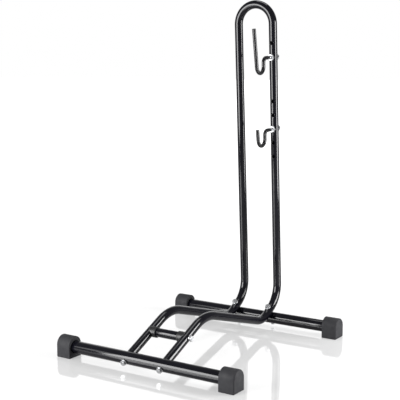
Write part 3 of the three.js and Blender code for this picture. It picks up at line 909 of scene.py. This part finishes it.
def side_rail(word, sign):
    """A bent rail, cut to the front cross tube. The spacer's bolt passes through both walls of the
    right rail, and its insert sits in the inner wall of the left one."""
    corners = [front_base, hump_corner, heel_corner, joint + joint_direction * RAIL_JOINT_LAP]
    corners = [at_side(corner, sign) for corner in corners]
    path = carry_side(bent_path(corners, [RAIL_HUMP_RADIUS, RAIL_HEEL_RADIUS]), along_x)
    rings = tube_rings(path, TUBE_RADIUS, TUBE_BORE)
    tube = swept(f"{word}_side_rail_shape", rings, TUBE_SIDES, gloss_black_paint)
    across = along_x * (TUBE_RADIUS + OVERRUN)
    seat = at_side(front_base, sign)
    tools = [
        cutter(seat - across, seat + across, BASE_RADIUS + GAP, TUBE_SIDES),
        across_hole(at_side(joint, sign), joint_normal, TUBE_RADIUS, BOLT_HOLE_RADIUS),
    ]
    middle = at_side(spacer_axis, sign)
    if sign > 0:
        tools.append(across_hole(middle, along_x, TUBE_RADIUS, BOLT_HOLE_RADIUS))
    else:
        inner = Vector((OVERRUN - rail_face, spacer_axis.y, spacer_axis.z))
        tools.append(cutter(inner, middle, INSERT_RADIUS + CAD_GAP))
    settle(cut(tube, tools), f"{word}_side_rail")


for side_name, side_sign in SIDES:
    side_rail(side_name, side_sign)

# ---- spacer


def cross_spacer():
    half_length = rail_face - SADDLE_THICKNESS - GAP
    tube = level_tube("cross_spacer", spacer_axis, half_length, TUBE_RADIUS, TUBE_BORE)
    settle(tube, "cross_spacer")


def spacer_saddle(word, sign):
    """The plug in the spacer's end and the saddle that sits round the rail, cut to the rail."""
    shoulder = rail_face - SADDLE_THICKNESS
    outer = rail_face + SADDLE_DEPTH
    plug = TUBE_BORE - GAP
    plug_end = shoulder - SADDLE_PLUG_LENGTH
    rows = [
        circle(BOLT_HOLE_RADIUS, plug_end),
        circle(plug - SADDLE_EDGE, plug_end),
        circle(plug, plug_end + SADDLE_EDGE),
        circle(plug, shoulder),
    ]
    rows += disc_rows(SADDLE_RADIUS, SADDLE_EDGE, shoulder, outer)
    rows.append(circle(BOLT_HOLE_RADIUS, outer))
    piece = lofted(f"{word}_spacer_saddle_shape", rows, black_plastic, closed=True)
    place(piece, spacer_axis, along_x * sign)
    middle = at_side(spacer_axis, sign)
    reach = rise * (2 * SADDLE_RADIUS)
    bed = cutter(middle - reach, middle + reach, TUBE_RADIUS + GAP, TUBE_SIDES)
    settle(cut(piece, [bed]), f"{word}_spacer_saddle")


cross_spacer()
for side_name, side_sign in SIDES:
    spacer_saddle(side_name, side_sign)

# ---- hoop


def hoop_path():
    """From the left joint over the top to the right one."""
    start = joint - joint_direction * HOOP_SPIGOT_REACH
    half = [start, ankle_corner, leg_point(HOOP_HEIGHT - CAD_TUBE_RADIUS)]
    left = [at_side(point, -1) for point in half]
    right = [at_side(point, 1) for point in reversed(half)]
    radii = [HOOP_ANKLE_RADIUS, TUBE_SPACING / 2, TUBE_SPACING / 2, HOOP_ANKLE_RADIUS]
    return carry_side(bent_path(left + right, radii), along_x)


def hoop_rings(path):
    """Out over the hoop and back through its bore, with both ends narrowed."""
    narrow = HOOP_SPIGOT_REACH + RAIL_JOINT_LAP + GAP
    wide = narrow + HOOP_SHOULDER_LENGTH
    spigot = [
        (0, HOOP_SPIGOT_RADIUS, HOOP_SPIGOT_BORE),
        (narrow, HOOP_SPIGOT_RADIUS, HOOP_SPIGOT_BORE),
        (narrow, TUBE_RADIUS - TUBE_LIP, HOOP_SPIGOT_BORE),
        (narrow + TUBE_LIP, TUBE_RADIUS, HOOP_SPIGOT_BORE),
        (wide, TUBE_RADIUS, HOOP_SPIGOT_BORE),
        (wide + TUBE_LIP, TUBE_RADIUS, TUBE_BORE),
    ]
    rings = [start_ring(path, distance, radius) for distance, radius, bore in spigot]
    rings += [(*station, TUBE_RADIUS) for station in path[1:-1]]
    rings += [end_ring(path, distance, radius) for distance, radius, bore in reversed(spigot)]
    rings += [end_ring(path, distance, bore) for distance, radius, bore in spigot]
    rings += [(*station, TUBE_BORE) for station in reversed(path[1:-1])]
    rings += [start_ring(path, distance, bore) for distance, radius, bore in reversed(spigot)]
    rings.append(rings[0])
    return rings


def hoop():
    """One bent tube, whose narrowed ends fit inside the rails."""
    tube = swept("hoop_shape", hoop_rings(hoop_path()), TUBE_SIDES, gloss_black_paint)
    holes = []
    for height in sorted(lower_row + upper_row):
        middle = at_side(leg_point(height), 1)
        holes.append(across_hole(middle, shank_direction, TUBE_RADIUS, HOOK_HOLE_RADIUS))
    for word, sign in SIDES:
        middle = at_side(joint, sign)
        holes.append(across_hole(middle, joint_normal, TUBE_RADIUS, BOLT_HOLE_RADIUS))
    settle(cut(tube, holes), "hoop")


hoop()

# ---- hooks


def hook_corners(point, arm_height):
    """The corners of a hook's rod in front of its thread. point(reach, rise) is a point so far in
    front of the leg's axis and so far up the leg."""
    splay = math.radians(HOOK_SPLAY)
    cradle_turn = (math.pi - splay) / 2
    tangent = HOOK_CRADLE_RADIUS * math.tan(cradle_turn / 2)
    inner_height = HOOK_CRADLE_RADIUS - HOOK_DROP - tangent
    outer_reach = HOOK_REACH + 2 * tangent * math.sin(cradle_turn)
    outer_height = inner_height - 2 * tangent * math.cos(cradle_turn)
    tip_height = arm_height - HOOK_DROP
    tip_reach = outer_reach + (tip_height - outer_height) * math.tan(splay)
    return [
        point(HOOK_THREAD_REACH, 0),
        point(HOOK_REACH, 0),
        point(HOOK_REACH, inner_height),
        point(outer_reach, outer_height),
        point(tip_reach, tip_height),
    ]


def hook(word, height, arm_height):
    """A bent rod: a bare zinc thread through its two nuts, and a black coat from there to its tip."""
    origin = at_side(leg_point(height), 1)

    def point(reach, rise_along_leg):
        return origin + shank_direction * reach + leg_direction * rise_along_leg

    tail = CAD_TUBE_RADIUS + SEAT_GAP + HOOK_NUT_HEIGHT + HOOK_TAIL
    thread_length = tail + HOOK_THREAD_REACH
    step = HOOK_THREAD_PITCH / THREAD_RINGS
    path = [(point(-tail, 0), shank_direction)]
    for index in range(1, int(thread_length / step)):
        path.append((point(index * step - tail, 0), shank_direction))
    radii = [HOOK_ELBOW_RADIUS, HOOK_CRADLE_RADIUS, HOOK_CRADLE_RADIUS]
    path += bent_path(hook_corners(point, arm_height), radii)
    rings = solid_rings(carry_side(path, along_x), HOOK_RADIUS, HOOK_TIP_ROUNDING)

    def thread(travel):
        fade_in = min(travel / HOOK_THREAD_PITCH, 1)
        fade_out = min(max((thread_length - travel) / HOOK_THREAD_PITCH, 0), 1)
        return fade_in * fade_out

    name = f"{word}_hook"
    rod = swept(f"{name}_shape", rings, ROD_SIDES, satin_black_coat, thread, HOOK_THREAD_PITCH)
    bare_thread(rod, origin)
    settle(rod, name, f"{name}_rod")


def bare_thread(rod, origin):
    """Gives a hook's faces zinc instead of the coat, up to where the coat starts."""
    rod.data.materials.append(zinc_plate)
    bare_slot = len(rod.data.materials) - 1
    for face in rod.data.polygons:
        from_leg = face.center / MM - origin
        reach = from_leg.dot(shank_direction)
        above = from_leg.dot(leg_direction)
        if reach < HOOK_THREAD_REACH and abs(above) < 2 * HOOK_RADIUS:
            face.material_index = bare_slot


def fastener(name, rows, point, direction, closed=True):
    """A zinc piece round a direction, whose rows start from a point."""
    piece = lofted(f"{name}_shape", rows, zinc_plate, closed)
    settle(place(piece, point, direction), name)


def nut(name, point, direction, flats, height, bore):
    """A hexagon nut with both faces chamfered. It stands on the point, along the direction."""
    round_face = flats * ROUND_FACE / 2
    chamfer = NUT_BORE_CHAMFER
    rows = [
        circle(bore, chamfer),
        circle(bore + chamfer, 0),
        circle(round_face, 0),
        hexagon_row(flats, 0, -1),
        hexagon_row(flats, height, 1),
        circle(round_face, height),
        circle(bore + chamfer, height),
        circle(bore, height - chamfer),
    ]
    fastener(name, rows, point, direction)


def hook_set(word, height, arm_height):
    """A hook and the two nuts that clamp it in the leg."""
    hook(word, height, arm_height)
    middle = at_side(leg_point(height), 1)
    for end, direction in (("front", shank_direction), ("rear", -shank_direction)):
        seat = middle + direction * (TUBE_RADIUS + SEAT_GAP)
        name = f"{word}_hook_{end}_nut"
        nut(name, seat, direction, HOOK_NUT_FLATS, HOOK_NUT_HEIGHT, HOOK_RADIUS + GAP)


hook_set("upper", upper_row[UPPER_HOOK_HOLE - 1], UPPER_HOOK_ARM)
hook_set("lower", lower_row[LOWER_HOOK_HOLE - 1], LOWER_HOOK_ARM)

# ---- bolts, washers and nuts


def bolt_head_rows():
    """From the dish in a bolt's head down to its shank."""
    round_face = BOLT_HEAD_FLATS * ROUND_FACE / 2
    return [
        circle(round_face * BOLT_DISH_FLOOR, BOLT_HEAD_HEIGHT - BOLT_HEAD_STEP),
        circle(round_face * BOLT_DISH_RIM, BOLT_HEAD_HEIGHT),
        circle(round_face, BOLT_HEAD_HEIGHT),
        hexagon_row(BOLT_HEAD_FLATS, BOLT_HEAD_HEIGHT, 1),
        hexagon_row(BOLT_HEAD_FLATS, BOLT_HEAD_STEP),
        circle(round_face, BOLT_HEAD_STEP),
        circle(round_face, 0),
        circle(BOLT_RADIUS, 0),
    ]


def bolt_thread_rows(shank_length):
    """Down the thread to the bolt's chamfered end."""
    thread_length = min(BOLT_THREAD_LENGTH, shank_length - BOLT_LEAST_PLAIN)
    start = thread_length - shank_length
    depth = BOLT_THREAD_PITCH * THREAD_DEPTH

    def thread_row(height):
        fade = min((start - height) / BOLT_THREAD_PITCH, 1)
        end = max(depth - (height + shank_length), 0)

        def row(angle):
            phase = (height / BOLT_THREAD_PITCH - angle / (2 * math.pi)) % 1
            groove = abs(phase - 0.5) * 2 * depth * fade
            return BOLT_RADIUS - max(groove, end), height

        return row

    count = int(thread_length / BOLT_THREAD_PITCH * THREAD_RINGS)
    return [thread_row(start - thread_length * index / count) for index in range(count + 1)]


def bolt(name, point, direction, shank_length):
    """A hexagon bolt whose head stands on the point, along the direction."""
    rows = bolt_head_rows() + bolt_thread_rows(shank_length)
    fastener(name, rows, point, direction, closed=False)


def washer(name, point, direction):
    """A washer that stands on the point, along the direction."""
    rows = [circle(WASHER_BORE, 0)]
    rows += disc_rows(WASHER_RADIUS, WASHER_EDGE, 0, WASHER_THICKNESS)
    rows.append(circle(WASHER_BORE, WASHER_THICKNESS))
    fastener(name, rows, point, direction)


def bolt_and_washer(name, point, direction, seat, shank_end):
    """A bolt along the direction with a washer under its head. The surface under the washer and
    the shank's end are at distances from the point."""
    head = seat + 2 * CAD_GAP + CAD_WASHER_THICKNESS
    under_head = head - SEAT_GAP - WASHER_THICKNESS
    washer(f"{name}_washer", point + direction * under_head, direction)
    bolt(f"{name}_bolt", point + direction * head, direction, head - shank_end)


def rail_fasteners(word, sign):
    """A rail's front bolt, and the bolt and nut through rail, hoop and rear cross tube."""
    front_end = -CAD_BASE_RADIUS - CAD_GAP - BOLT_ENGAGEMENT
    front = at_side(front_base, sign)
    bolt_and_washer(f"{word}_front", front, -rise, CAD_BASE_RADIUS, front_end)
    under_tube = -joint_height - CAD_BASE_RADIUS
    joint_end = under_tube - CAD_GAP - NUT_HEIGHT - BOLT_TAIL
    middle = at_side(joint, sign)
    bolt_and_washer(f"{word}_joint", middle, joint_normal, CAD_TUBE_RADIUS, joint_end)
    seat = middle + joint_normal * (under_tube - SEAT_GAP)
    nut(f"{word}_joint_nut", seat, -joint_normal, BOLT_HEAD_FLATS, NUT_HEIGHT, NUT_BORE)


for side_name, side_sign in SIDES:
    rail_fasteners(side_name, side_sign)
spacer_end = -TUBE_SPACING / 2 - SPACER_BOLT_REACH
bolt_and_washer("spacer", at_side(spacer_axis, 1), along_x, CAD_TUBE_RADIUS, spacer_end)

# The threaded pieces inside the rails never show, so they keep their CAD meshes.
for hidden in ("left_rail_plug", "right_rail_plug", "left_rail_insert"):
    for material_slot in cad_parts[hidden].material_slots:
        material_slot.material = zinc_plate

# ---- floor, light and camera


def white_floor():
    """The floor's material. Near the rack it shows shadows and a soft mirror image, and far away
    it is plain white."""
    material = bpy.data.materials.new("white_floor")
    material.use_nodes = True
    tree = material.node_tree
    ray = add_node(tree, "ShaderNodeLightPath").outputs
    seen, glossy = ray["Is Camera Ray"], ray["Is Glossy Ray"]
    point = object_point(tree)
    far = add_node(tree, "ShaderNodeVectorMath", {0: point}, operation="LENGTH").outputs["Value"]
    mirrored = add_math(tree, "MULTIPLY", glossy, FLOOR_MIRRORED)
    share = add_math(tree, "MAXIMUM", seen, ray["Is Transmission Ray"], mirrored)
    lift = map_range(tree, far, FLOOR_NEAR, FLOOR_LIFT, FLOOR_FAR_LIFT)
    shine = add_math(tree, "MAXIMUM", seen, glossy)
    inputs = {
        "Base Color": map_range(tree, far, FLOOR_NEAR, FLOOR_WHITE, FLOOR_FAR_WHITE),
        "Roughness": FLOOR_ROUGHNESS,
        "IOR": FLOOR_IOR,
        "Specular IOR Level": add_math(tree, "MULTIPLY", shine, FLOOR_SPECULAR),
        "Emission Color": (1, 1, 1, 1),
        "Emission Strength": add_math(tree, "MULTIPLY", share, lift),
    }
    set_inputs(tree, tree.nodes["Principled BSDF"], inputs)
    return material


def floor():
    reach = FLOOR_REACH
    mesh = bpy.data.meshes.new("floor")
    front = [(-reach, FLOOR_FRONT, 0), (reach, FLOOR_FRONT, 0)]
    corners = front + [(reach, reach, 0), (-reach, reach, 0)]
    mesh.from_pydata(corners, [], [(0, 1, 2, 3)])
    mesh.materials.append(white_floor())
    new_object("floor", mesh)


def studio_world():
    """White for the camera. A shiny piece mirrors the white backdrop and the darker room."""
    world = bpy.data.worlds.new("studio")
    bpy.context.scene.world = world
    world.use_nodes = True
    tree = world.node_tree
    direction = add_node(tree, "ShaderNodeTexCoord").outputs["Generated"]
    height = add_node(tree, "ShaderNodeSeparateXYZ", {0: direction}).outputs["Z"]
    low = map_range(tree, height, BACKDROP_TOP, 1.0, 0.0)
    sides = {0: direction, 1: BACKDROP}
    nearness = add_node(tree, "ShaderNodeVectorMath", sides, operation="DOT_PRODUCT")
    behind = map_range(tree, nearness.outputs["Value"], BACKDROP_EDGES)
    backdrop = add_math(tree, "MULTIPLY", low, behind)
    mirrored = map_range(tree, backdrop, (0.0, 1.0), WORLD_DARK, 1.0)
    ray = add_node(tree, "ShaderNodeLightPath").outputs
    seen = [ray[f"Is {kind} Ray"] for kind in ("Camera", "Glossy", "Transmission")]
    seen = add_math(tree, "MAXIMUM", *seen)
    soft = add_math(tree, "MULTIPLY", add_math(tree, "SUBTRACT", 1.0, seen), WORLD_SOFT)
    lit = add_math(tree, "ADD", add_math(tree, "MULTIPLY", seen, mirrored), soft)
    lit = add_math(tree, "MAXIMUM", lit, ray["Is Camera Ray"])
    set_inputs(tree, tree.nodes["Background"], {"Color": (1, 1, 1, 1), "Strength": lit})


def softbox(name, middle, target, width, height, brightness):
    """A rectangle of light that faces a target."""
    lamp = bpy.data.lights.new(name, "AREA")
    lamp.shape = "RECTANGLE"
    lamp.size = width
    lamp.size_y = height
    lamp.energy = brightness * width * height * math.pi
    light = new_object(name, lamp)
    light.location = middle
    light.rotation_euler = (Vector(middle) - Vector(target)).to_track_quat("Z", "Y").to_euler()
    light.visible_camera = False


def camera():
    lens = bpy.data.cameras.new("camera")
    lens.lens = CAMERA_LENS
    lens.sensor_width = CAMERA_SENSOR
    viewer = new_object("camera", lens)
    upright = Matrix.Rotation(math.radians(90 - CAMERA_DIP), 4, "X")
    turned = Matrix.Rotation(math.radians(CAMERA_TURN), 4, "Z") @ upright
    rolled = turned @ Matrix.Rotation(math.radians(CAMERA_ROLL), 4, "Z")
    viewer.matrix_world = Matrix.Translation(CAMERA_PLACE * MM) @ rolled
    bpy.context.scene.camera = viewer


floor()
studio_world()
for softbox_sizes in SOFTBOXES:
    softbox(*softbox_sizes)
camera()
bpy.context.scene.view_settings.view_transform = "Standard"
